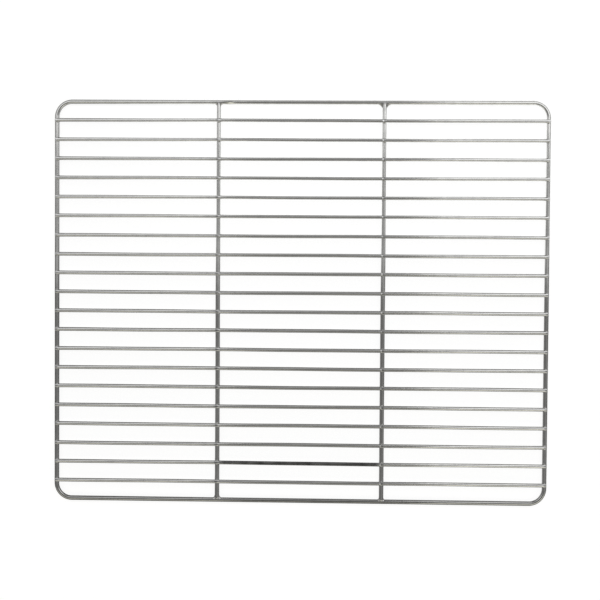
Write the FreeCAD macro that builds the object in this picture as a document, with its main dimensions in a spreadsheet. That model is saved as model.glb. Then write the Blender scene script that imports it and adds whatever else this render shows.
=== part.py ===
import FreeCAD, Part
import math
import os
import Sketcher

# Welded wire cooling rack for bakery ware, in the GN 2/1 size.
#
# A thick frame wire is bent to a rounded rectangle, and its ends are butt welded
# and ground flush. Two cross wires stand between its long sides, in its plane,
# held by fillet beads. Thinner grid wires lie over the short sides and over the
# cross wires, and resistance welding has pressed them into these a little.
#
# Millimetres. X runs along the length, Y from front to rear, Z up. The origin is
# on the surface that the rack stands on, under the middle of the rack.

SIZES = {
    # Over all, measured on the frame wire.
    "overall_length": 650.0,
    "overall_width": 530.0,
    # The frame wire: its thickness, the radius of its corners at the centre line,
    # and how far its butt weld lies to the left of the middle of the rear side.
    "frame_diameter": 6.0,
    "corner_radius": 20.0,
    "butt_weld_offset": 95.0,
    # The two cross wires: their thickness, and the distance between their centres.
    "cross_diameter": 6.0,
    "cross_spacing": 217.0,
    # The grid wires: how many, their thickness, how deep they are pressed into
    # what carries them, how far their ends stay inside the outer edge of the
    # frame, and how far tumbling has rounded the sheared ends.
    "grid_count": 20,
    "grid_diameter": 5.0,
    "grid_set_down": 0.5,
    "grid_end_inset": 1.8,
    "grid_end_rounding": 0.4,
    # A fillet bead: how far it reaches along each wire from the corner between
    # them, and its thickness up and down there.
    "bead_reach": 4.5,
    "bead_thickness": 4.6,
}

# What follows from the sizes, as expressions that the features are bound to.
FRAME_LENGTH = "(Sizes.overall_length - Sizes.frame_diameter)"
FRAME_WIDTH = "(Sizes.overall_width - Sizes.frame_diameter)"
FRAME_HEIGHT = "(Sizes.frame_diameter / 2)"
CROSS_HEIGHT = "(Sizes.frame_diameter - Sizes.cross_diameter / 2)"
GRID_PITCH = "(" + FRAME_WIDTH + " / (Sizes.grid_count + 1))"
GRID_LENGTH = "(Sizes.overall_length - 2 * Sizes.grid_end_inset)"
GRID_HEIGHT = "(Sizes.frame_diameter - Sizes.grid_set_down + Sizes.grid_diameter / 2)"

ACROSS = {"left": -1, "right": 1}
ALONG = {"front": -1, "rear": 1}


def make_sizes(doc):
    """The spreadsheet of driving dimensions, one named cell for each."""
    sheet = doc.addObject("Spreadsheet::Sheet", "Sizes")
    for row, (name, value) in enumerate(SIZES.items(), start=1):
        cell = "A%d" % row
        sheet.set(cell, str(value))
        sheet.setAlias(cell, name)
    doc.recompute()


def add_sketch(body, name, plane):
    """An empty sketch on one of the body's own origin planes."""
    sketch = body.newObject("Sketcher::SketchObject", name)
    planes = [datum for datum in body.Origin.OriginFeatures if datum.Role == plane]
    sketch.AttachmentSupport = [(planes[0], "")]
    sketch.MapMode = "FlatFace"
    return sketch


def add_dimension(sketch, name, expression, kind, *places):
    """A dimension that starts at the sketch's own size and then follows the sheet."""
    number = sketch.addConstraint(Sketcher.Constraint(kind, *places))
    sketch.renameConstraint(number, name)
    sketch.setExpression("Constraints." + name, expression)


def draw_section(sketch, diameter):
    """The round section of a wire, its centre on the sketch's origin."""
    circle = Part.Circle(FreeCAD.Vector(0, 0, 0), FreeCAD.Vector(0, 0, 1), 1.0)
    ring = sketch.addGeometry(circle)
    sketch.addConstraint(Sketcher.Constraint("Coincident", ring, 3, -1, 1))
    add_dimension(sketch, "thickness", diameter, "Diameter", ring, 2.0)


def draw_frame_path(sketch):
    """The centre line of the frame wire, from its butt weld once round to it.

    It is drawn counter-clockwise: rear side to the left of the weld, left side,
    front side, right side, and the rest of the rear side, with an arc at each of
    the four corners.
    """
    x_end = (SIZES["overall_length"] - SIZES["frame_diameter"]) / 2
    y_end = (SIZES["overall_width"] - SIZES["frame_diameter"]) / 2
    radius = SIZES["corner_radius"]
    weld = FreeCAD.Vector(-SIZES["butt_weld_offset"], y_end, 0)
    corners = [(-1, 1), (-1, -1), (1, -1), (1, 1)]
    sides = []
    arcs = []
    start = weld
    for number, (x_sign, y_sign) in enumerate(corners):
        centre = FreeCAD.Vector(x_sign * (x_end - radius), y_sign * (y_end - radius), 0)
        circle = Part.Circle(centre, FreeCAD.Vector(0, 0, 1), radius)
        angle = math.pi / 2 * (number + 1)
        bend = Part.ArcOfCircle(circle, angle, angle + math.pi / 2)
        sides.append(sketch.addGeometry(Part.LineSegment(start, bend.StartPoint)))
        arcs.append(sketch.addGeometry(bend))
        start = bend.EndPoint
    sides.append(sketch.addGeometry(Part.LineSegment(start, weld)))

    for number, arc in enumerate(arcs):
        sketch.addConstraint(Sketcher.Constraint("Tangent", sides[number], 2, arc, 1))
        sketch.addConstraint(Sketcher.Constraint("Tangent", arc, 2, sides[number + 1], 1))
    for arc in arcs[1:]:
        sketch.addConstraint(Sketcher.Constraint("Equal", arcs[0], arc))
    sketch.addConstraint(Sketcher.Constraint("Coincident", sides[4], 2, sides[0], 1))
    for side in (sides[0], sides[2], sides[4]):
        sketch.addConstraint(Sketcher.Constraint("Horizontal", side))
    for side in (sides[1], sides[3]):
        sketch.addConstraint(Sketcher.Constraint("Vertical", side))

    add_dimension(sketch, "corner", "Sizes.corner_radius", "Radius", arcs[0], radius)
    add_dimension(sketch, "left", FRAME_LENGTH + " / 2", "DistanceX", sides[1], 1, -1, 1, x_end)
    add_dimension(sketch, "right", FRAME_LENGTH + " / 2", "DistanceX", -1, 1, sides[3], 1, x_end)
    add_dimension(sketch, "front", FRAME_WIDTH + " / 2", "DistanceY", sides[2], 1, -1, 1, y_end)
    add_dimension(sketch, "rear", FRAME_WIDTH + " / 2", "DistanceY", -1, 1, sides[0], 1, y_end)
    add_dimension(sketch, "butt_weld", "Sizes.butt_weld_offset", "DistanceX",
                  sides[0], 1, -1, 1, SIZES["butt_weld_offset"])


def make_frame_wire(doc):
    """The frame: a round section carried along the rounded rectangle."""
    body = doc.addObject("PartDesign::Body", "frame_wire")
    path = add_sketch(body, "frame_path", "XY_Plane")
    draw_frame_path(path)
    section = add_sketch(body, "frame_section", "YZ_Plane")
    draw_section(section, "Sizes.frame_diameter")
    section.setExpression("AttachmentOffset.Base.x", FRAME_WIDTH + " / 2")
    section.setExpression("AttachmentOffset.Base.z", "-Sizes.butt_weld_offset")
    doc.recompute()
    pipe = body.newObject("PartDesign::AdditivePipe", "frame_pipe")
    pipe.Profile = section
    pipe.Spine = path
    body.setExpression("Placement.Base.z", FRAME_HEIGHT)
    return body


def make_straight_wire(doc, name, plane, diameter, length):
    """A body that holds one straight wire, centred on its own origin."""
    body = doc.addObject("PartDesign::Body", name)
    section = add_sketch(body, name + "_section", plane)
    draw_section(section, diameter)
    pad = body.newObject("PartDesign::Pad", name + "_pad")
    pad.Profile = section
    pad.SideType = "Symmetric"
    pad.setExpression("Length", length)
    doc.recompute()
    return body


def cut_by(doc, name, blank, tool):
    """A sub-part: the blank without the metal that belongs to its carriers."""
    cut = doc.addObject("Part::Cut", name)
    cut.Base = blank
    cut.Tool = tool
    return cut


def make_cross_wire(doc, side, frame):
    """One cross wire, its ends shaped to the inside of the frame wire."""
    name = "cross_wire_" + side
    blank = make_straight_wire(doc, name + "_blank", "XZ_Plane", "Sizes.cross_diameter", FRAME_WIDTH)
    blank.setExpression("Placement.Base.x", "%d * Sizes.cross_spacing / 2" % ACROSS[side])
    blank.setExpression("Placement.Base.z", CROSS_HEIGHT)
    return cut_by(doc, name, blank, frame)


def make_grid_wire(doc, number, carriers):
    """One grid wire, its ends rounded, with a saddle where it lies on a carrier."""
    name = "grid_wire_%02d" % number
    blank = make_straight_wire(doc, name + "_blank", "YZ_Plane", "Sizes.grid_diameter", GRID_LENGTH)
    pad = blank.Tip
    rims = [
        "Edge%d" % index
        for index, edge in enumerate(pad.Shape.Edges, start=1)
        if isinstance(edge.Curve, Part.Circle)
    ]
    rounding = blank.newObject("PartDesign::Fillet", name + "_rounding")
    rounding.Base = (pad, rims)
    rounding.setExpression("Radius", "Sizes.grid_end_rounding")
    station = "(%d - (Sizes.grid_count + 1) / 2) * %s" % (number, GRID_PITCH)
    blank.setExpression("Placement.Base.y", station)
    blank.setExpression("Placement.Base.z", GRID_HEIGHT)
    return cut_by(doc, name, blank, carriers)


def draw_bead_section(sketch):
    """Half of a lens, between two equal arcs that meet at the rim on the X axis."""
    reach = SIZES["bead_reach"]
    rise = SIZES["bead_thickness"] / 2
    radius = (reach ** 2 + rise ** 2) / (2 * rise)
    opening = math.asin(reach / radius)
    up = math.pi / 2
    normal = FreeCAD.Vector(0, 0, 1)
    upper = Part.Circle(FreeCAD.Vector(0, rise - radius, 0), normal, radius)
    lower = Part.Circle(FreeCAD.Vector(0, radius - rise, 0), normal, radius)
    top = sketch.addGeometry(Part.ArcOfCircle(upper, up - opening, up))
    bottom = sketch.addGeometry(Part.ArcOfCircle(lower, -up, opening - up))
    poles = (FreeCAD.Vector(0, rise, 0), FreeCAD.Vector(0, -rise, 0))
    core = sketch.addGeometry(Part.LineSegment(*poles))
    sketch.addConstraint(Sketcher.Constraint("Coincident", top, 1, bottom, 2))
    sketch.addConstraint(Sketcher.Constraint("Coincident", top, 2, core, 1))
    sketch.addConstraint(Sketcher.Constraint("Coincident", bottom, 1, core, 2))
    sketch.addConstraint(Sketcher.Constraint("PointOnObject", top, 3, -2))
    sketch.addConstraint(Sketcher.Constraint("PointOnObject", top, 2, -2))
    sketch.addConstraint(Sketcher.Constraint("PointOnObject", bottom, 3, -2))
    sketch.addConstraint(Sketcher.Constraint("PointOnObject", top, 1, -1))
    add_dimension(sketch, "reach", "Sizes.bead_reach", "DistanceX", -1, 1, top, 1, reach)
    add_dimension(sketch, "rise", "Sizes.bead_thickness / 2", "DistanceY", -1, 1, top, 2, rise)
    sketch.addConstraint(Sketcher.Constraint("Symmetric", core, 1, core, 2, -1, 1))


def make_weld_bead(doc, end, side, flank, carriers):
    """One fillet bead, filling the corner between the frame and a cross wire.

    It is a lens of weld metal about the corner, less the two wires. The inner
    flank of a cross wire faces the middle of the rack.
    """
    name = "weld_%s_%s_%s" % (end, side, flank)
    outwards = ACROSS[side] if flank == "outer" else -ACROSS[side]
    lens = doc.addObject("PartDesign::Body", name + "_lens")
    section = add_sketch(lens, name + "_section", "XZ_Plane")
    draw_bead_section(section)
    turned = lens.newObject("PartDesign::Revolution", name + "_turned")
    turned.Profile = section
    turned.ReferenceAxis = (section, ["V_Axis"])
    turned.Angle = 360.0
    corner_x = "(%d * Sizes.cross_spacing + %d * Sizes.cross_diameter) / 2"
    corner_y = "%d * (Sizes.overall_width / 2 - Sizes.frame_diameter)"
    lens.setExpression("Placement.Base.x", corner_x % (ACROSS[side], outwards))
    lens.setExpression("Placement.Base.y", corner_y % ALONG[end])
    lens.setExpression("Placement.Base.z", CROSS_HEIGHT)
    return cut_by(doc, name, lens, carriers)


def make_rack(doc):
    """Every sub-part of the rack, from the frame inwards and upwards."""
    frame = make_frame_wire(doc)
    cross_wires = [make_cross_wire(doc, side, frame) for side in ACROSS]
    carriers = doc.addObject("Part::Compound", "carriers")
    carriers.Links = [frame] + cross_wires
    doc.recompute()
    grid_wires = [
        make_grid_wire(doc, number, carriers)
        for number in range(1, int(SIZES["grid_count"]) + 1)
    ]
    beads = [
        make_weld_bead(doc, end, side, flank, carriers)
        for end in ALONG
        for side in ACROSS
        for flank in ("outer", "inner")
    ]
    return [frame] + cross_wires + grid_wires + beads


def check(doc, sub_parts):
    """Stops the script unless every feature and every sub-part is sound."""
    for item in doc.Objects:
        for word in ("Invalid", "Error"):
            if word in item.State:
                raise RuntimeError("%s is %s" % (item.Label, word))
    for part in sub_parts:
        shape = part.Shape
        if shape.isNull() or not shape.isValid():
            raise RuntimeError("%s has no valid shape" % part.Label)
        if len(shape.Solids) != 1:
            raise RuntimeError("%s has %d solids" % (part.Label, len(shape.Solids)))


def write(sub_parts):
    """One STEP file for each sub-part, named after it."""
    os.makedirs("parts", exist_ok=True)
    for part in sub_parts:
        part.Shape.exportStep("parts/%s.step" % part.Label)
        print("%-24s %10.2f mm3" % (part.Label, part.Shape.Volume))


document = FreeCAD.newDocument("cooling_rack")
make_sizes(document)
rack = make_rack(document)
document.recompute()
check(document, rack)
write(rack)
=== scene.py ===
# %% [markdown]
# # A welded wire rack for cooling bread and cakes
# The real rack is three kinds of stainless wire: one thick wire bent to a rounded
# rectangle, two thick wires across it, and twenty thinner wires laid over them.
# They are welded together, and the finish looks like that of an acid bath with a
# current, which polishes a whole rack at once. That is a guess, and so is every
# effect of the bath named below. Only the rack's top was seen, so whatever is said
# of its underside is a guess too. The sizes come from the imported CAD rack, which is
# loaded first and stays where it is. Every piece made here, apart from the collars
# of the spot welds, takes the place of one CAD piece, so that its surface can show
# what a plain cylinder lacks.

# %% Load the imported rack
import math

import bpy
import numpy as np
from mathutils import Euler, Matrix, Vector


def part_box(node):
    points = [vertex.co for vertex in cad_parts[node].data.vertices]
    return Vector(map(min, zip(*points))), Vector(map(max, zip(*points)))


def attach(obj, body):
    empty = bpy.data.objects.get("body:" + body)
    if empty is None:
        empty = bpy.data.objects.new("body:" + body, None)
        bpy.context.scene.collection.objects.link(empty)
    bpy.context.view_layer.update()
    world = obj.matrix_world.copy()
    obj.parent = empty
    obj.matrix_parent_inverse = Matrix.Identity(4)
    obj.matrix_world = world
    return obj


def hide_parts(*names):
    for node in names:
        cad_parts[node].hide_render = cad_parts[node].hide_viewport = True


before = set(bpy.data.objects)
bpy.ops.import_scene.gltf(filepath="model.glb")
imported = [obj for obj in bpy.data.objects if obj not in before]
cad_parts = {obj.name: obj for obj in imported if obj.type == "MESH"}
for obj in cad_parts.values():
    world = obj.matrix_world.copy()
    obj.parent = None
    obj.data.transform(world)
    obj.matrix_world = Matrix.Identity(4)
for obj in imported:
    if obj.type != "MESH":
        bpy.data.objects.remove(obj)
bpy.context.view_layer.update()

print("CAD pieces:", len(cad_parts))

# %% [markdown]
# ## The sizes that everything follows
# A reader could type the sizes in again, but then the two models would drift apart.
# Here each size is measured on the box around a CAD piece instead. Only the bend at
# the corners can't be read from a box, so it is written down.

# %% Measure the wires
MM = 0.001
CORNER_RADIUS = 20 * MM


def span(node, axis):
    """The middle of a CAD piece along one axis, and half of its size along it."""
    low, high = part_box(node)
    return (low[axis] + high[axis]) / 2, (high[axis] - low[axis]) / 2


FRAME_Z, FRAME_RADIUS = span("frame_wire", 2)
HALF_LENGTH = span("frame_wire", 0)[1] - FRAME_RADIUS
HALF_WIDTH = span("frame_wire", 1)[1] - FRAME_RADIUS
CROSS_Z, CROSS_RADIUS = span("cross_wire_left", 2)
CROSS_X = {side: span("cross_wire_" + side, 0)[0] for side in ("left", "right")}
GRID_NODES = sorted(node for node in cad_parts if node.startswith("grid_wire_"))
GRID_RADIUS = span(GRID_NODES[0], 1)[1]
GRID_Z = span(GRID_NODES[0], 2)[0]
GRID_REACH = span(GRID_NODES[0], 0)[1]
print("frame wire %.1f mm, grid wire %.1f mm thick" % (2000 * FRAME_RADIUS, 2000 * GRID_RADIUS))
print("the centre line is %.0f by %.0f mm" % (2000 * HALF_LENGTH, 2000 * HALF_WIDTH))

# %% [markdown]
# ## Where the wires are welded
# Each grid wire is welded where it crosses the two short sides of the frame and the
# two cross wires. Two copper electrodes squeeze the crossing and send a current
# through it, which softens the metal, so both wires carry a mark of every weld. Real
# wires don't lie quite where they should either: they stray a few tenths of a
# millimetre. Both facts are worked out once, and every piece asks for them.

# %% How far a wire strays, and the list of welds
STRAY = 0.22 * MM
STATION_ERROR = 0.30 * MM


def wander(along, seed, size=STRAY):
    """How far a wire strays sideways at each place along it.

    Two sine waves are added, about 410 and 170 mm long. Each wire has its own
    seed, and so its own phases.
    """
    phases = np.random.default_rng(seed).uniform(0, 2 * math.pi, 2)
    slow = np.sin(2 * math.pi * along / 0.41 + phases[0])
    quick = np.sin(2 * math.pi * along / 0.17 + phases[1])
    return size * (0.7 * slow + 0.3 * quick)


def grid_y(number, along):
    """The Y place of grid wire number at each X in along: its station, an error, its stray."""
    station = span(GRID_NODES[number], 1)[0]
    error = np.random.default_rng(700 + number).normal(0, STATION_ERROR)
    return station + np.clip(error, -2 * STATION_ERROR, 2 * STATION_ERROR) + wander(along, number)


CARRIER_X = np.array([-HALF_LENGTH, CROSS_X["left"], CROSS_X["right"], HALF_LENGTH])
spots = [
    (x, y, FRAME_Z + FRAME_RADIUS)
    for number in range(len(GRID_NODES))
    for x, y in zip(CARRIER_X, grid_y(number, CARRIER_X))
]
SPOT_WELDS = np.array(spots)
print("spot welds:", len(SPOT_WELDS))

# %% [markdown]
# ## One way to make every wire
# A wire is a round section carried along a centre line. All stations and all angles
# form a grid of points, which numpy works out in one go: stations down, angles
# across. Pressing, dressing and cutting then move points of that grid. Blender's own
# curves with a bevel would be quicker to set up, but they can't be pressed flat at
# forty places.

# %% Sections, and the ways a section is deformed
SIDES = 28


def round_section(radius, stations):
    """Round sections as two arrays, stations by sides: the place sideways and the place up.

    The angle starts at the underside, so that the pattern's seam lies there.
    """
    angle = np.arange(SIDES) / SIDES * 2 * math.pi - math.pi / 2
    radius = np.broadcast_to(np.asarray(radius, float), (stations,))[:, None]
    return radius * np.cos(angle), radius * np.sin(angle)


def lower_of(a, b, blend):
    """The lower of a and b, with a round corner: half of (a + b - root((a - b)^2 + blend^2))."""
    return (a + b - np.sqrt((a - b) ** 2 + blend ** 2)) / 2


def press(sideways, up, facing, reach, blend=0.10 * MM):
    """Presses a flat on sections. The flat faces the angle facing, at the distance reach.

    The part of each point's distance in that direction that is over reach is
    taken away from the point.
    """
    towards = sideways * math.cos(facing) + up * math.sin(facing)
    excess = towards - lower_of(towards, reach, blend)
    return sideways - excess * math.cos(facing), up - excess * math.sin(facing)


def bump(along, places, half_width):
    """1 at each of the places and 0 away from them: the highest of exp(-(distance / half)^4)."""
    distance = np.abs(along[:, None] - np.asarray(places)[None, :])
    return np.exp(-((distance / half_width) ** 4)).max(axis=1)


# %% [markdown]
# ## From a grid of points to a mesh
# The grid becomes a closed skin: quads between neighbouring stations, and a fan at
# each end. Three facts go along with each point for the material: how far along the
# wire it lies and at which side (the lay of the wire), how near it is to a weld, and
# how much darker it is made. Two places look darker than the rest: the front side of
# the frame, and one grid wire between the cross wires. That this is scale is a guess,
# and so is its amount. On a carrier, the heat tint round each weld is centred a little
# to the rear of the weld, so that there it is partly heat tint and partly painted shade
# of the grid wire. All three may be no more than what polished wire mirrors.
# Each wire gets its own stretch of the pattern, so that no two look the same.

# %% Skin a grid of points
OWN_STRETCH = 0.9  # metres of pattern from the start of one wire to the start of the next
STAIN_AND_SHADE_SHIFT = np.array([0, 1.5, 0]) * MM  # the heat tint on a carrier, and the painted shade of the grid wire in it, lies this far behind its weld


def heat_at(points, welds, spread):
    """How much of a weld's heat reached each point: exp(-(distance to the nearest / spread)^2)."""
    nearest = np.full(len(points), np.inf)
    for weld in welds:
        nearest = np.minimum(nearest, ((points - weld) ** 2).sum(axis=1))
    return np.exp(-nearest / spread ** 2)


def wrap_faces(stations, sides, looped):
    """Quads between each station and the next, counted so that they face outwards.

    The point at a station and a side has the number station * sides + side.
    """
    row = np.arange(stations if looped else stations - 1)[:, None]
    column = np.arange(sides)[None, :]
    after = (row + 1) % stations
    beside = (column + 1) % sides
    faces = np.empty((row.size, sides, 4), int)
    faces[..., 0] = row * sides + column
    faces[..., 1] = row * sides + beside
    faces[..., 2] = after * sides + beside
    faces[..., 3] = after * sides + column
    return faces.reshape(-1, 4)


def skin(name, grid, along, welds, looped=False, spread=4.5 * MM, darkening=0.0):
    """Makes a mesh object of a grid of points, stations by sides by XYZ.

    A looped grid joins its last station to its first. Otherwise each end is
    closed by triangles about the middle of its last ring. The last argument says
    how much darker each station is made, from 0 to 1.
    """
    stations, sides = grid.shape[:2]
    points = grid.reshape(-1, 3)
    darkening = np.repeat(np.broadcast_to(darkening, stations), sides)
    faces = wrap_faces(stations, sides, looped).tolist()
    angle = np.arange(sides) / sides * 2 * math.pi
    around = np.stack([np.cos(angle), np.sin(angle)], axis=-1) * GRID_RADIUS
    lay = np.concatenate([
        np.broadcast_to(np.asarray(along)[:, None, None], (stations, sides, 1)),
        np.broadcast_to(around[None], (stations, sides, 2)),
    ], axis=-1).reshape(-1, 3)
    if not looped:
        ring = np.arange(sides)
        after = (ring + 1) % sides
        start, end = len(points), len(points) + 1
        points = np.concatenate([points, grid[0].mean(axis=0)[None], grid[-1].mean(axis=0)[None]])
        lay = np.concatenate([lay, [[along[0], 0, 0], [along[-1], 0, 0]]])
        darkening = np.concatenate([darkening, darkening[[0, -1]]])
        last = (stations - 1) * sides
        faces += np.stack([np.full(sides, start), after, ring], axis=-1).tolist()
        faces += np.stack([np.full(sides, end), last + ring, last + after], axis=-1).tolist()
    mesh = bpy.data.meshes.new(name)
    mesh.from_pydata(points.tolist(), [], faces)
    mesh.shade_smooth()
    mesh.attributes.new("lay", "FLOAT_VECTOR", "POINT").data.foreach_set("vector", lay.ravel())
    heat = heat_at(points, welds, spread)
    mesh.attributes.new("heat", "FLOAT", "POINT").data.foreach_set("value", heat)
    mesh.attributes.new("darkening", "FLOAT", "POINT").data.foreach_set("value", darkening)
    piece = bpy.data.objects.new(name, mesh)
    bpy.context.scene.collection.objects.link(piece)
    return piece


def place(piece, node):
    """Lets a finished piece stand for a CAD piece: hangs it on the rack's root body and hides the CAD
    piece.
    """
    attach(piece, "root")
    if node:
        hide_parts(node)
    print("%-22s %6d faces" % (piece.name, len(piece.data.polygons)))
    return piece


# %% [markdown]
# ## The frame
# One 6 mm wire is bent in four corners until its ends meet. Where they meet is a
# guess from a faint hint in the rear side: there the hot ends are pushed together,
# and the ridge that comes out is ground away on the top, which leaves a narrow
# facet. A bend also squashes a round wire a little: it gets thinner across and a
# trace thicker up and down, and here only the thinning is made. Each crossing is
# given an electrode mark on the underside, as spot welded wire has.

# %% Walk round the frame
BUTT_WELD_X = -95 * MM
FRAME_STEP = 2.4 * MM


def frame_walk():
    """Centre line, heading and bend of the frame, counter-clockwise from its butt weld.

    It is four sides and four quarter turns. Along a side the place is start plus
    distance times heading. In a turn it is the centre plus the radius times the
    direction that lies a quarter turn to the right of the heading.
    """
    rear_left = HALF_LENGTH - CORNER_RADIUS + BUTT_WELD_X
    long_side = 2 * (HALF_LENGTH - CORNER_RADIUS)
    short_side = 2 * (HALF_WIDTH - CORNER_RADIUS)
    runs = [rear_left, short_side, long_side, short_side, long_side - rear_left]
    place_now = np.array([BUTT_WELD_X, HALF_WIDTH])
    heading = math.pi
    centre, headings, bends = [], [], []
    for number, run in enumerate(runs):
        steps = int(math.ceil(run / FRAME_STEP))
        forward = np.array([math.cos(heading), math.sin(heading)])
        centre.append(place_now + np.arange(steps)[:, None] / steps * run * forward)
        headings.append(np.full(steps, heading))
        bends.append(np.zeros(steps))
        place_now = place_now + run * forward
        if number == len(runs) - 1:
            break
        hub = place_now + CORNER_RADIUS * np.array([-forward[1], forward[0]])
        turned = heading + np.arange(24) / 24 * math.pi / 2
        outwards = np.stack([np.sin(turned), -np.cos(turned)], axis=-1)
        centre.append(hub + CORNER_RADIUS * outwards)
        headings.append(turned)
        bends.append(np.sin(np.arange(24) / 24 * math.pi) ** 0.5)
        heading += math.pi / 2
        place_now = hub + CORNER_RADIUS * np.array([math.sin(heading), -math.cos(heading)])
    return np.concatenate(centre), np.concatenate(headings), np.concatenate(bends)


frame_centre, frame_heading, frame_bend = frame_walk()
print("frame stations:", len(frame_centre))

# %% Skin the frame
OVALITY = 0.035
MARK_DEPTH = 0.22 * MM
MARK_HALF = 2.6 * MM
MARK_SWELL = 0.03  # how much wider the wire gets at an electrode mark
RIDGE_HALF = 1.6 * MM
GROUND_HALF = 7.0 * MM
GROUND_DEPTH = 0.75 * MM
GROUND_FACING = math.radians(62)
FRONT_DARKENING = 0.6  # how much darker the front side of the frame is made, a guessed amount; the cause isn't known


def make_frame_wire():
    """The frame wire: round, oval in its bends, marked under each crossing, ground at its weld."""
    gaps = np.linalg.norm(np.roll(frame_centre, -1, axis=0) - frame_centre, axis=1)
    along = np.concatenate([[0], np.cumsum(gaps)[:-1]])
    sideways, up = round_section(FRAME_RADIUS, len(along))
    sideways = sideways * (1 - OVALITY * frame_bend)[:, None]
    to_crossing = np.linalg.norm(
        frame_centre[:, None, :] - SPOT_WELDS[None, :, :2], axis=2).min(axis=1)
    mark = np.exp(-((to_crossing / MARK_HALF) ** 4))
    sole = FRAME_RADIUS + 0.1 * MM - (MARK_DEPTH + 0.1 * MM) * mark
    sideways, up = press(sideways, up, -math.pi / 2, sole[:, None])
    sideways = sideways * (1 + MARK_SWELL * mark)[:, None]
    round_the_weld = np.minimum(along, gaps.sum() - along)
    ridge = np.exp(-((round_the_weld / RIDGE_HALF) ** 2))
    sideways = sideways * (1 + 0.05 * ridge)[:, None]
    up = up * (1 + 0.04 * ridge)[:, None]
    ground = np.exp(-((round_the_weld / GROUND_HALF) ** 4))
    facet = FRAME_RADIUS + 0.15 * MM - GROUND_DEPTH * ground
    sideways, up = press(sideways, up, GROUND_FACING, facet[:, None])
    sideways = np.maximum(sideways, -FRAME_RADIUS)
    up = np.maximum(up, -FRAME_RADIUS)
    left_hand = np.stack(
        [-np.sin(frame_heading), np.cos(frame_heading), np.zeros(len(along))], axis=-1)
    middle = np.column_stack([frame_centre, np.full(len(along), FRAME_Z)])
    grid = middle[:, None, :] + sideways[..., None] * left_hand[:, None, :]
    grid[..., 2] += up
    # The front side of the frame is made darker, fading out round its front corners, by a guessed
    # amount; the cause isn't known.
    in_front = (-frame_centre[:, 1] - (HALF_WIDTH - CORNER_RADIUS)) / CORNER_RADIUS
    darkening = FRONT_DARKENING * np.clip(in_front, 0, 1)
    return skin(
        "bent_frame_wire", grid, along, SPOT_WELDS + STAIN_AND_SHADE_SHIFT, looped=True, darkening=darkening)


frame_piece = place(make_frame_wire(), "frame_wire")

# %% [markdown]
# ## The cross wires
# A cross wire is cut to length and pushed against the inside of the frame while it
# is welded, so that each end takes the shape of the frame's round side. In the grid
# of points this is simple: every line along the wire runs to its own end, where it
# meets the frame.

# %% Make both cross wires
def make_cross_wire(side, seed):
    """A cross wire along Y.

    A line of its surface at the height up ends at the frame's round inside, which
    lies at the frame's centre line less root(radius^2 - up^2).
    """
    share = np.linspace(-1, 1, 241)
    along = share * HALF_WIDTH
    sideways, up = round_section(CROSS_RADIUS, len(share))
    crossings = SPOT_WELDS[:, 1][np.abs(SPOT_WELDS[:, 0] - CROSS_X[side]) < MM]
    mark = bump(along, crossings, MARK_HALF)
    sole = CROSS_RADIUS + 0.1 * MM - (MARK_DEPTH + 0.1 * MM) * mark
    sideways, up = press(sideways, up, -math.pi / 2, sole[:, None])
    sideways = sideways * (1 + MARK_SWELL * mark)[:, None]
    end = HALF_WIDTH - np.sqrt(np.maximum(FRAME_RADIUS ** 2 - up ** 2, 0)) + 0.05 * MM
    grid = np.empty(up.shape + (3,))
    grid[..., 0] = CROSS_X[side] - sideways + wander(along, seed)[:, None] * (1 - share ** 2)[:, None]
    grid[..., 1] = share[:, None] * end
    grid[..., 2] = CROSS_Z + up
    along = along + OWN_STRETCH * seed
    return skin(side + "_cross_bar", grid, along, SPOT_WELDS + STAIN_AND_SHADE_SHIFT)


cross_pieces = [
    place(make_cross_wire(side, 40 + number), "cross_wire_" + side)
    for number, side in enumerate(CROSS_X)
]

# %% [markdown]
# ## The grid wires
# A grid wire sits in a shallow saddle on each of its four carriers, and the upper
# electrode has pressed a small flat on its top there. These flats are what catches
# the light at every crossing. Its ends are sheared off and tumbled, so their rims
# are round. The stations along the wire are closer together near the crossings,
# where the shape changes. The second wire from the front is nearly black between
# the cross wires. Why it is so isn't known.

# %% Stations along a grid wire
END_ROUNDING = 0.45 * MM


def grid_stations():
    """X places along a grid wire: every 5 mm, every 0.7 mm near a weld, and close at the ends."""
    plain = np.arange(-GRID_REACH + 4 * MM, GRID_REACH - 4 * MM, 5 * MM)
    near = CARRIER_X[:, None] + np.arange(-5.6, 5.7, 0.7)[None, :] * MM
    rim = GRID_REACH - END_ROUNDING * np.array([0, 0.04, 0.3, 0.7, 1.0, 1.6])
    places = np.concatenate([plain, near.ravel(), rim, -rim])
    places = np.unique(np.round(places[np.abs(places) <= GRID_REACH + 1e-9], 7))
    return places


grid_x = grid_stations()
print("stations along a grid wire:", len(grid_x))

# %% Make the grid wires
CROWN_DEPTH = 0.34 * MM
CROWN_HALF = 2.3 * MM
CUT_ERROR = 0.5 * MM
BLACK_WIRE = 1  # counted from 0 at the front
BLACK_FADE = 8 * MM  # the length over which its dark span begins and ends


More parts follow.
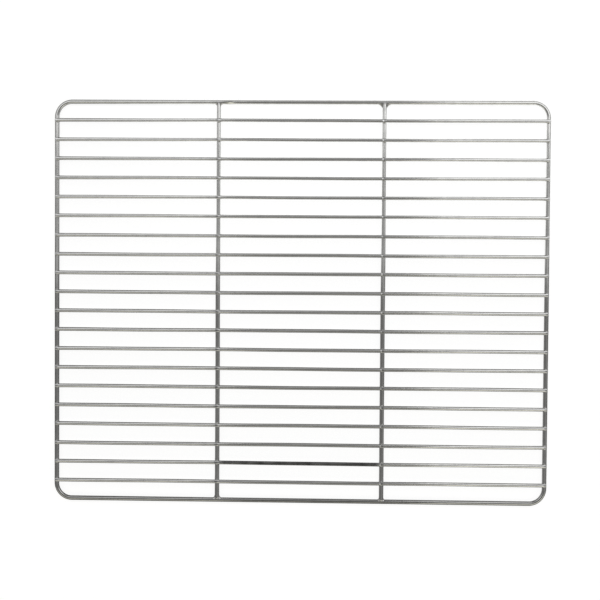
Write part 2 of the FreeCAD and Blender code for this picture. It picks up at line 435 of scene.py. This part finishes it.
def make_grid_wire(number):
    """A grid wire along X, with saddles below and electrode flats above."""
    sideways, up = round_section(GRID_RADIUS, len(grid_x))
    chance = np.random.default_rng(90 + number)
    depths = CROWN_DEPTH * chance.uniform(0.6, 1.3, len(CARRIER_X))
    marks = np.exp(-(((grid_x[:, None] - CARRIER_X[None, :]) / CROWN_HALF) ** 4))
    crown = GRID_RADIUS + 0.1 * MM - (marks * (depths + 0.1 * MM)).max(axis=1)
    sideways, up = press(sideways, up, math.pi / 2, crown[:, None])
    sideways = sideways * (1 + 0.05 * marks.max(axis=1))[:, None]
    to_carrier = np.abs(grid_x[:, None] - CARRIER_X[None, :]).min(axis=1)
    carrier_top = FRAME_Z + np.sqrt(np.maximum(FRAME_RADIUS ** 2 - to_carrier ** 2, 0))
    carrier_top = np.where(to_carrier < FRAME_RADIUS, carrier_top, -1)
    up = np.maximum(up, carrier_top[:, None] - GRID_Z)
    past = np.maximum(np.abs(grid_x) - (GRID_REACH - END_ROUNDING), 0) / END_ROUNDING
    rim = END_ROUNDING * (1 - np.sqrt(np.maximum(1 - past ** 2, 0)))
    shrink = ((GRID_RADIUS - rim) / GRID_RADIUS)[:, None]
    slant = 0.05 * chance.uniform(-1, 1) * np.clip(past, 0, 1)[:, None]
    end_share = np.clip((np.abs(grid_x) - GRID_REACH) / (3 * MM) + 1, 0, 1)
    cut_short = np.where(grid_x > 0, -chance.uniform(0, CUT_ERROR), chance.uniform(0, CUT_ERROR))
    grid = np.empty(up.shape + (3,))
    grid[..., 0] = (grid_x + cut_short * end_share)[:, None] + slant * up
    grid[..., 1] = grid_y(number, grid_x)[:, None] + sideways * shrink
    grid[..., 2] = GRID_Z + up * shrink
    welds = SPOT_WELDS[4 * number:4 * number + 4]
    darkening = 0.0
    # This wire is made nearly black between the cross wires; the cause isn't known.
    if number == BLACK_WIRE:
        darkening = np.clip((CROSS_X["right"] - np.abs(grid_x)) / BLACK_FADE, 0, 1)
    lay_x = grid_x + OWN_STRETCH * number
    return skin("grid_bar_%02d" % (number + 1), grid, lay_x, welds, darkening=darkening)


grid_pieces = [
    place(make_grid_wire(number), node)
    for number, node in enumerate(GRID_NODES)
]

# %% [markdown]
# ## Metal squeezed out of the spot welds
# Where two hot wires are pressed into each other, a little metal comes out round the
# contact and freezes as an uneven collar. Its place is the curve in which the two
# round wires cut each other, and that curve has a formula, so the collar is a thin
# ring carried along it.

# %% Make the collars
RING_STATIONS, RING_SIDES = 26, 8


def collar(weld, seed):
    """Points of one collar, stations by sides, about the curve where two round wires meet.

    With the crossing at x = y = 0, the curve has x = reach * cos(turn). It lies on
    the carrier, so its height is the carrier's centre plus root(R^2 - x^2), and on
    the grid wire, so y is the root of (r^2 - height above its centre squared).
    """
    turn = np.arange(RING_STATIONS) / RING_STATIONS * 2 * math.pi
    reach = math.sqrt(FRAME_RADIUS ** 2 - (GRID_Z - GRID_RADIUS - FRAME_Z) ** 2)
    x = reach * np.cos(turn)
    z = FRAME_Z + np.sqrt(FRAME_RADIUS ** 2 - x ** 2)
    y = np.sqrt(np.maximum(GRID_RADIUS ** 2 - (z - GRID_Z) ** 2, 0)) * np.sign(np.sin(turn))
    chance = np.random.default_rng(seed)
    waves = sum(
        chance.normal(0, 1) * np.cos(times * turn + chance.uniform(0, 6.3))
        for times in (1, 2, 3, 5))
    thick = np.clip(0.42 + 0.07 * waves, 0.26, 0.75) * MM
    outwards = np.stack([np.cos(turn), np.sin(turn), 0 * turn], axis=-1)
    curve = np.stack([x, y, z], axis=-1) + outwards * 0.25 * MM
    angle = np.arange(RING_SIDES) / RING_SIDES * 2 * math.pi
    around = np.cos(angle)[None, :, None] * outwards[:, None, :] * 1.15
    around = around + np.sin(angle)[None, :, None] * np.array([0, 0, 0.8])
    ring = curve[:, None, :] + thick[:, None, None] * around
    return ring + np.array([weld[0], weld[1], 0])


def make_collars():
    """All collars as one mesh of closed rings."""
    rings = np.stack([collar(weld, 300 + n) for n, weld in enumerate(SPOT_WELDS)])
    count = len(rings)
    per_ring = RING_STATIONS * RING_SIDES
    faces = wrap_faces(RING_STATIONS, RING_SIDES, True)[:, ::-1]
    faces = (faces[None] + np.arange(count)[:, None, None] * per_ring).reshape(-1, 4)
    mesh = bpy.data.meshes.new("spot_weld_collars")
    mesh.from_pydata(rings.reshape(-1, 3).tolist(), [], faces.tolist())
    mesh.shade_smooth()
    points = rings.reshape(-1, 3)
    mesh.attributes.new("lay", "FLOAT_VECTOR", "POINT").data.foreach_set("vector", points.ravel())
    mesh.attributes.new("heat", "FLOAT", "POINT").data.foreach_set("value", np.full(len(points), 0.9))
    piece = bpy.data.objects.new("spot_weld_collars", mesh)
    bpy.context.scene.collection.objects.link(piece)
    return piece


collars = place(make_collars(), None)

# %% [markdown]
# ## The fillet beads
# Each end of a cross wire is held by a bead on either flank. Molten metal flows into
# the corner and clings to both wires, so a cut through it has a hollow edge that
# leaves one wire and arrives at the other along their surfaces. A modelled lump with
# a Remesh would blend them too, but it would also melt the wires. Here that cut is a
# Bezier curve, and it is carried round the flank of the cross wire from its top to
# its underside. No two beads are alike, so each joint has its own reach.

# %% How far each bead reaches
# joint: reach along the frame, reach along the cross wire (mm), and how full it is
BEADS = {
    "front_left": (2.3, 3.8, 0.25), "front_right": (1.7, 3.0, 0.3),
    "rear_left": (2.4, 2.4, 0.35), "rear_right": (5.4, 5.0, 0.5),
}
CUTS, CURVE_POINTS = 41, 18

# %% Make the beads
def bead_cuts(turn, along_frame, along_cross, fullness):
    """Cuts through a bead: distance from the cross wire's axis, distance from the frame's axis.

    In a cut the frame's surface is at root(R^2 - height^2). The curve is a
    quadratic Bezier from the cross wire to the frame, and its middle point is the
    corner of the two surfaces, moved towards the chord by the fullness. The cut
    is closed by three points inside the wires.
    """
    steep = np.abs(np.sin(turn))
    room = 0.92 * CROSS_RADIUS * (1 / np.maximum(steep, 1e-3) - 1)
    out = np.maximum(lower_of(np.full(len(turn), along_frame), room, 0.6 * MM), 0)
    back = along_cross * (0.2 + 0.8 * out / out.max())
    corner_t = CROSS_RADIUS * np.cos(turn)
    frame_t = np.sqrt(np.maximum(FRAME_RADIUS ** 2 - ((CROSS_RADIUS + out) * steep) ** 2, 0))
    first = np.stack([np.full(len(turn), CROSS_RADIUS), corner_t + back], axis=-1)
    last = np.stack([CROSS_RADIUS + out, frame_t], axis=-1)
    corner = np.stack([np.full(len(turn), CROSS_RADIUS), corner_t], axis=-1)
    control = corner + fullness * ((first + last) / 2 - corner)
    s = np.linspace(0, 1, CURVE_POINTS)[None, :, None]
    curve = (1 - s) ** 2 * first[:, None] + 2 * s * (1 - s) * control[:, None] + s ** 2 * last[:, None]
    inside = np.stack([
        last + np.array([0, -0.5 * MM]), corner + np.array([-0.9, -0.9]) * MM,
        first + np.array([-0.5 * MM, 0])], axis=1)
    return np.concatenate([curve, inside], axis=1)


def make_bead(joint, flank, seed):
    """One bead: its cuts, turned about the cross wire from its top round one flank."""
    end, side = joint.split("_")
    to_frame = -1 if end == "front" else 1
    to_side = -1 if side == "left" else 1
    outwards = to_side if flank == "outer" else -to_side
    chance = np.random.default_rng(seed)
    along_frame, along_cross, fullness = BEADS[joint]
    turn = np.linspace(-88, 88, CUTS) * math.pi / 180
    sizes = np.array([along_frame, along_cross]) * MM * chance.uniform(0.85, 1.15, 2)
    cuts = bead_cuts(turn, sizes[0], sizes[1], fullness)
    grid = np.empty(cuts.shape[:2] + (3,))
    grid[..., 0] = CROSS_X[side] + outwards * cuts[..., 0] * np.cos(turn)[:, None]
    grid[..., 1] = to_frame * (HALF_WIDTH - cuts[..., 1])
    grid[..., 2] = CROSS_Z + cuts[..., 0] * np.sin(turn)[:, None]
    if outwards * to_frame < 0:
        grid = grid[:, ::-1]
    centre = np.array([[
        CROSS_X[side] + outwards * CROSS_RADIUS, to_frame * (HALF_WIDTH - FRAME_RADIUS), CROSS_Z]])
    return skin("bead_%s_%s" % (joint, flank), grid, turn * MM, centre, spread=6 * MM)


bead_pieces = [
    place(make_bead(joint, flank, 500 + 2 * n + m), "weld_%s_%s" % (joint, flank))
    for n, joint in enumerate(BEADS)
    for m, flank in enumerate(("outer", "inner"))
]

# %% [markdown]
# ## A group of nodes for the finish of drawn wire
# Wire is pulled through a die, which leaves fine lines along it. The bath is taken
# to soften them and to leave faint clouds. A slow drift of tone lets neighbouring
# wires differ a little. A weld's heat tints the steel round it. On the thick wires
# that tint is dark, and it lies under each grid wire and a little behind it, so that
# it is partly painted shade of the grid wire. The darkening of the two darker places
# is laid over all that, a little weaker in patches. All three materials show this in
# different amounts, so it is one group with its own inputs. It puts out only what
# varies: a colour, a roughness and a height.

# %% Build the finish group
def add_node(tree, kind, inputs=(), **settings):
    """Adds a node and sets it up: settings are its own choices, inputs are (name, value or socket)."""
    made = tree.nodes.new("ShaderNode" + kind)
    for name, value in settings.items():
        setattr(made, name, value)
    for name, value in inputs:
        if isinstance(value, bpy.types.NodeSocket):
            tree.links.new(value, made.inputs[name])
        else:
            made.inputs[name].default_value = value
    return made


def blend_colours(tree, factor, first, second):
    """A colour between two: the first where the factor is 0 and the second where it is 1."""
    mix = add_node(tree, "Mix", [(0, factor), (6, first), (7, second)], data_type="RGBA")
    return mix.outputs[2]


def build_wire_finish():
    """The node group: die lines, clouds, pits, drift of tone, tint round a weld (on the thick wires
    partly painted shade), and darkening.
    """
    group = bpy.data.node_groups.new("wire_finish", "ShaderNodeTree")
    # The Scale input says how much darker a place is made, and the input after it the dark colour it
    # goes towards; why these places look darker isn't known.
    sockets = [
        ("Lay", "NodeSocketVector", None), ("Heat", "NodeSocketFloat", 0.0),
        ("Scale", "NodeSocketFloat", 0.0), ("Darkening Colour", "NodeSocketColor", (0.1, 0.1, 0.1, 1)),
        ("Steel", "NodeSocketColor", (0.62, 0.62, 0.62, 1)),
        ("Cloud Colour", "NodeSocketColor", (0.55, 0.55, 0.55, 1)),
        ("Stain And Shade Colour", "NodeSocketColor", (0.4, 0.33, 0.25, 1)),
        ("Gloss Roughness", "NodeSocketFloat", 0.2), ("Dull Roughness", "NodeSocketFloat", 0.4),
    ]
    for name, kind, value in sockets:
        socket = group.interface.new_socket(name, in_out="INPUT", socket_type=kind)
        if value is not None:
            socket.default_value = value
    results = [
        ("Colour", "NodeSocketColor"), ("Roughness", "NodeSocketFloat"), ("Height", "NodeSocketFloat"),
    ]
    for name, kind in results:
        group.interface.new_socket(name, in_out="OUTPUT", socket_type=kind)
    given = group.nodes.new("NodeGroupInput").outputs
    result = group.nodes.new("NodeGroupOutput").inputs
    die = add_node(group, "Mapping", [("Vector", given["Lay"]), ("Scale", (5, 2200, 2200))])
    lines = add_node(group, "TexNoise", [
        ("Vector", die.outputs[0]), ("Scale", 1.0), ("Detail", 3.0), ("Roughness", 0.6)])
    cloud_noise = add_node(group, "TexNoise", [
        ("Vector", given["Lay"]), ("Scale", 85.0), ("Detail", 4.0), ("Roughness", 0.55)])
    clouds = add_node(group, "MapRange", [
        ("Value", cloud_noise.outputs[0]), ("From Min", 0.38), ("From Max", 0.68)])
    pits = add_node(group, "TexVoronoi", [("Vector", given["Lay"]), ("Scale", 420.0)])
    pit = add_node(group, "MapRange", [
        ("Value", pits.outputs["Distance"]), ("From Min", 0.04), ("From Max", 0.1),
        ("To Min", 1.0), ("To Max", 0.0)])
    uneven = add_node(group, "TexNoise", [
        ("Vector", given["Lay"]), ("Scale", 260.0), ("Detail", 3.0)])
    # The tint round a weld. On the thick wires its colour is dark and it is centred behind each
    # crossing, so there it is partly painted shade of the grid wire.
    warm = add_node(group, "Math", [
        (0, given["Heat"]), (1, uneven.outputs[0])], operation="MULTIPLY")
    stain_and_shade = add_node(group, "MapRange", [
        ("Value", warm.outputs[0]), ("From Min", 0.13), ("From Max", 0.38)])
    clouded = blend_colours(group, clouds.outputs[0], given["Steel"], given["Cloud Colour"])
    lined = add_node(group, "MapRange", [
        ("Value", lines.outputs[0]), ("From Min", 0.3), ("From Max", 0.7),
        ("To Min", 0.93), ("To Max", 1.0)])
    slow_noise = add_node(group, "TexNoise", [
        ("Vector", given["Lay"]), ("Scale", 1.4), ("Detail", 1.0)])
    drift = add_node(group, "MapRange", [
        ("Value", slow_noise.outputs[0]), ("From Min", 0.35), ("From Max", 0.65),
        ("To Min", 0.88), ("To Max", 1.05)])
    tone = add_node(group, "Math", [
        (0, lined.outputs[0]), (1, drift.outputs[0])], operation="MULTIPLY")
    shaded = add_node(group, "VectorMath", [
        (0, clouded), ("Scale", tone.outputs[0])], operation="SCALE")
    stained = blend_colours(group, stain_and_shade.outputs[0], shaded.outputs[0], given["Stain And Shade Colour"])
    # The darkening of the two darker places, a little weaker in patches; its cause isn't known.
    patches = add_node(group, "MapRange", [
        ("Value", cloud_noise.outputs[0]), ("From Min", 0.3), ("From Max", 0.7),
        ("To Min", 1.0), ("To Max", 0.7)])
    dark_share = add_node(group, "Math", [
        (0, given["Scale"]), (1, patches.outputs[0])], operation="MULTIPLY")
    colour = blend_colours(group, dark_share.outputs[0], stained, given["Darkening Colour"])
    group.links.new(colour, result["Colour"])
    dull = add_node(group, "Math", [
        (0, clouds.outputs[0]), (1, 0.35), (2, stain_and_shade.outputs[0])],
        operation="MULTIPLY_ADD", use_clamp=True)
    rough = add_node(group, "MapRange", [
        ("Value", dull.outputs[0]),
        ("To Min", given["Gloss Roughness"]), ("To Max", given["Dull Roughness"])])
    group.links.new(rough.outputs[0], result["Roughness"])
    height = add_node(group, "Math", [
        (0, pit.outputs[0]), (1, -0.2), (2, lines.outputs[0])], operation="MULTIPLY_ADD")
    group.links.new(height.outputs[0], result["Height"])
    return group


wire_finish = build_wire_finish()
print("nodes in wire_finish:", len(wire_finish.nodes))

# %% [markdown]
# ## Three materials
# All the wire is the same steel, and only the welds set it apart. The thin wire is
# given a little more gloss and a paler tint than the thick one, because that looks
# right here and not because it was measured. The thick wire's dark tint round each
# crossing is partly heat tint and partly painted shade of the grid wire.
# It is made the dullest of the three, on the guess that the bath reaches them badly.

# %% Make and assign the materials
def make_steel(name, steel, cloud, stain_and_shade, roughness, relief):
    """A metal whose colour, roughness and bump come from the finish group.

    The two roughnesses are those of a clean place and of a stained one. The relief
    is the height of the pattern in metres.
    """
    material = bpy.data.materials.new(name)
    material.use_nodes = True
    tree = material.node_tree
    shader = tree.nodes["Principled BSDF"]
    shader.inputs["Metallic"].default_value = 1.0
    lay = add_node(tree, "Attribute", attribute_name="lay")
    heat = add_node(tree, "Attribute", attribute_name="heat")
    # How much darker a place is made; its cause isn't known.
    darkening = add_node(tree, "Attribute", attribute_name="darkening")
    finish = tree.nodes.new("ShaderNodeGroup")
    finish.node_tree = wire_finish
    tree.links.new(lay.outputs["Vector"], finish.inputs["Lay"])
    tree.links.new(heat.outputs["Fac"], finish.inputs["Heat"])
    tree.links.new(darkening.outputs["Fac"], finish.inputs["Scale"])
    finish.inputs["Steel"].default_value = (*steel, 1)
    finish.inputs["Cloud Colour"].default_value = (*cloud, 1)
    finish.inputs["Stain And Shade Colour"].default_value = (*stain_and_shade, 1)
    finish.inputs["Gloss Roughness"].default_value = roughness[0]
    finish.inputs["Dull Roughness"].default_value = roughness[1]
    tree.links.new(finish.outputs["Colour"], shader.inputs["Base Color"])
    tree.links.new(finish.outputs["Roughness"], shader.inputs["Roughness"])
    bump = add_node(tree, "Bump", [
        ("Height", finish.outputs["Height"]), ("Strength", 1.0), ("Distance", relief)])
    tree.links.new(bump.outputs[0], shader.inputs["Normal"])
    return material


# The thick wires' dark tint colour is partly heat tint and partly painted shade of the grid wires that
# cross them.
frame_steel = make_steel(
    "frame_steel_finish", steel=(0.66, 0.66, 0.65), cloud=(0.58, 0.58, 0.57),
    stain_and_shade=(0.17, 0.16, 0.14), roughness=(0.11, 0.28), relief=0.005 * MM)
grid_steel = make_steel(
    "grid_steel_finish", steel=(0.66, 0.66, 0.655), cloud=(0.59, 0.59, 0.59),
    stain_and_shade=(0.50, 0.48, 0.45), roughness=(0.09, 0.26), relief=0.005 * MM)
bead_steel = make_steel(
    "bead_steel_finish", steel=(0.60, 0.60, 0.59), cloud=(0.48, 0.47, 0.46),
    stain_and_shade=(0.40, 0.38, 0.35), roughness=(0.28, 0.5), relief=0.02 * MM)
for piece in [frame_piece, *cross_pieces]:
    piece.data.materials.append(frame_steel)
for piece in grid_pieces:
    piece.data.materials.append(grid_steel)
for piece in [collars, *bead_pieces]:
    piece.data.materials.append(bead_steel)
print("materials:", [m.name for m in (frame_steel, grid_steel, bead_steel)])

# %% [markdown]
# ## A white table in a dim room
# Polished steel shows what stands round it, so the surround matters as much as the
# steel. The wires mirror the table in their flanks and the room and the lamps in
# their tops. The table glows towards the lit rear and stays dimmer in front, and
# this gives each wire its bright and its dark edge. Light Path tells a ray of the
# camera from the others, so the background can be white without more light on the
# rack, and the table still takes a faint shadow of it.

# %% Make the table and the world
FLOOR_Z = -0.1 * MM
FLOOR_HALF = 4.0


def make_card(name, corners):
    """A flat card with four given corners, which isn't part of the rack."""
    mesh = bpy.data.meshes.new(name)
    mesh.from_pydata(corners, [], [(0, 1, 2, 3)])
    card = bpy.data.objects.new(name, mesh)
    bpy.context.scene.collection.objects.link(card)
    return card


def make_table():
    """The floor: a matt top that also glows, to white for the camera and partly in reflections.

    What a reflection sees of the glow rises from front to rear and from left to
    right. For the camera it leaves room for the shadow near the rack, and it is
    full further out. From below the table is clear.
    """
    floor = make_card("table_top", [
        (-FLOOR_HALF, -FLOOR_HALF, FLOOR_Z), (FLOOR_HALF, -FLOOR_HALF, FLOOR_Z),
        (FLOOR_HALF, FLOOR_HALF, FLOOR_Z), (-FLOOR_HALF, FLOOR_HALF, FLOOR_Z)])
    material = bpy.data.materials.new("table_white")
    material.use_nodes = True
    tree = material.node_tree
    tree.nodes.clear()
    path = add_node(tree, "LightPath")
    place_on_top = add_node(tree, "TexCoord")
    axes = add_node(tree, "SeparateXYZ", [(0, place_on_top.outputs["Object"])])
    rearwards = add_node(tree, "MapRange", [
        ("Value", axes.outputs["Y"]), ("From Min", 0.0), ("From Max", 0.13), ("To Min", 0.25)],
        interpolation_type="SMOOTHSTEP")
    rightwards = add_node(tree, "MapRange", [
        ("Value", axes.outputs["X"]), ("From Min", -0.34), ("From Max", -0.1),
        ("To Min", 0.5), ("To Max", 1.3)], interpolation_type="SMOOTHSTEP")
    share = add_node(tree, "Math", [(0, rearwards.outputs[0]), (1, rightwards.outputs[0])],
                     operation="MULTIPLY")
    mirrored = add_node(tree, "Math", [(0, path.outputs["Is Glossy Ray"]), (1, share.outputs[0])],
                        operation="MULTIPLY")
    direct = add_node(tree, "Math", [
        (0, path.outputs["Is Camera Ray"]), (1, path.outputs["Is Transmission Ray"])], operation="ADD")
    far = add_node(tree, "VectorMath", [(0, place_on_top.outputs["Object"])], operation="LENGTH")
    white = add_node(tree, "MapRange", [
        ("Value", far.outputs["Value"]), ("From Min", 0.5), ("From Max", 1.5),
        ("To Min", 0.89), ("To Max", 1.0)])
    amount = add_node(tree, "Math", [
        (0, direct.outputs[0]), (1, white.outputs[0]), (2, mirrored.outputs[0])],
        operation="MULTIPLY_ADD")
    glow = add_node(tree, "Emission", [("Strength", amount.outputs[0])])
    matt = add_node(tree, "BsdfDiffuse", [("Color", (0.2, 0.2, 0.2, 1))])
    lit = add_node(tree, "AddShader", [(0, matt.outputs[0]), (1, glow.outputs[0])])
    clear = add_node(tree, "BsdfTransparent")
    sheet = add_node(tree, "NewGeometry")
    whole = add_node(tree, "MixShader", [
        (0, sheet.outputs["Backfacing"]), (1, lit.outputs[0]), (2, clear.outputs[0])])
    out = add_node(tree, "OutputMaterial")
    tree.links.new(whole.outputs[0], out.inputs[0])
    floor.data.materials.append(material)


def make_world():
    """White for the camera, and in reflections a dim warm room, darker towards its ceiling."""
    world = bpy.data.worlds.new("studio")
    bpy.context.scene.world = world
    world.use_nodes = True
    tree = world.node_tree
    tree.nodes.clear()
    path = add_node(tree, "LightPath")
    direct = add_node(tree, "Math", [
        (0, path.outputs["Is Camera Ray"]), (1, path.outputs["Is Transmission Ray"])],
        operation="ADD", use_clamp=True)
    direction = add_node(tree, "TexCoord")
    axes = add_node(tree, "SeparateXYZ", [(0, direction.outputs["Generated"])])
    walls = add_node(tree, "MapRange", [
        ("Value", axes.outputs["Z"]), ("From Min", 0.3), ("From Max", 0.6),
        ("To Min", 0.12), ("To Max", 0.05)], interpolation_type="SMOOTHSTEP")
    room = add_node(tree, "Background", [
        ("Color", (1, 0.97, 0.9, 1)), ("Strength", walls.outputs[0])])
    white = add_node(tree, "Background", [("Color", (1, 1, 1, 1)), ("Strength", 1.0)])
    lit = add_node(tree, "MixShader", [
        (0, direct.outputs[0]), (1, room.outputs[0]), (2, white.outputs[0])])
    out = add_node(tree, "OutputWorld")
    tree.links.new(lit.outputs[0], out.inputs[0])


make_table()
make_world()
print("table at z = %.1f mm" % (1000 * FLOOR_Z))

# %% [markdown]
# ## The lamps
# Polished wire mirrors every lamp as a line along itself, so the lamps decide which
# wires are light and which are dark. One large softbox would make them all alike.
# What really stood round the rack isn't known. Here softboxes hang in four rows and
# three columns, strong over the rear and the front and weak between, and dimmer over
# the middle, which gives the wires their dark core. A lamp's strength is that of its
# row times that of its column, all plain values that are listed below.

# %% Hang the softboxes
WHITE = (1.0, 1.0, 1.0)
WARM = (1.0, 0.98, 0.86)
SOFTBOX_Z = 1.2
# name: front and rear edge (m), radiance, colour
LAMP_ROWS = {
    "rear": ((0.35, 2.2), 1.4, WHITE),
    "overhead": ((0.0, 0.35), 0.6, WHITE),
    "near": ((-0.95, 0.0), 0.25, WHITE),
    "front": ((-2.8, -0.95), 1.5, WARM),
}
# name: left and right edge (m), share of its row's radiance
LAMP_COLUMNS = {
    "left": ((-2.2, -0.25), 0.8), "middle": ((-0.25, 0.28), 0.4), "right": ((0.28, 2.2), 1.1),
}


def hang_softbox(name, across, back, radiance, colour):
    """An area lamp that faces down and isn't seen by the camera.

    A flat lamp sends out power = radiance * area * pi.
    """
    lamp = bpy.data.lights.new(name, "AREA")
    lamp.shape = "RECTANGLE"
    lamp.size = across[1] - across[0]
    lamp.size_y = back[1] - back[0]
    lamp.energy = radiance * lamp.size * lamp.size_y * math.pi
    lamp.color = colour
    box = bpy.data.objects.new(name, lamp)
    box.location = (sum(across) / 2, sum(back) / 2, SOFTBOX_Z)
    box.visible_camera = False
    bpy.context.scene.collection.objects.link(box)
    print("%-22s %.0f W" % (name, lamp.energy))


for row, (back, radiance, colour) in LAMP_ROWS.items():
    for column, (across, share) in LAMP_COLUMNS.items():
        hang_softbox("%s_%s_softbox" % (row, column), across, back, radiance * share, colour)

# %% [markdown]
# ## The camera
# The rack is seen from almost straight above, from a metre and a half, with a long
# lens. The camera's place and small turns were solved from where the wires should
# lie in the view, and then rounded.

# %% Set up the camera and finish
camera_data = bpy.data.cameras.new("camera")
camera_data.sensor_width = 36.0
camera_data.lens = 68.35
camera = bpy.data.objects.new("camera", camera_data)
camera.location = (0.0449, 0.0468, 1.5)
tilt = [math.radians(degrees) for degrees in (-1.651, 1.741, 0.411)]
camera.rotation_euler = Euler(tilt, "XYZ")
bpy.context.scene.collection.objects.link(camera)
bpy.context.scene.camera = camera
bpy.context.scene.view_settings.view_transform = "Standard"

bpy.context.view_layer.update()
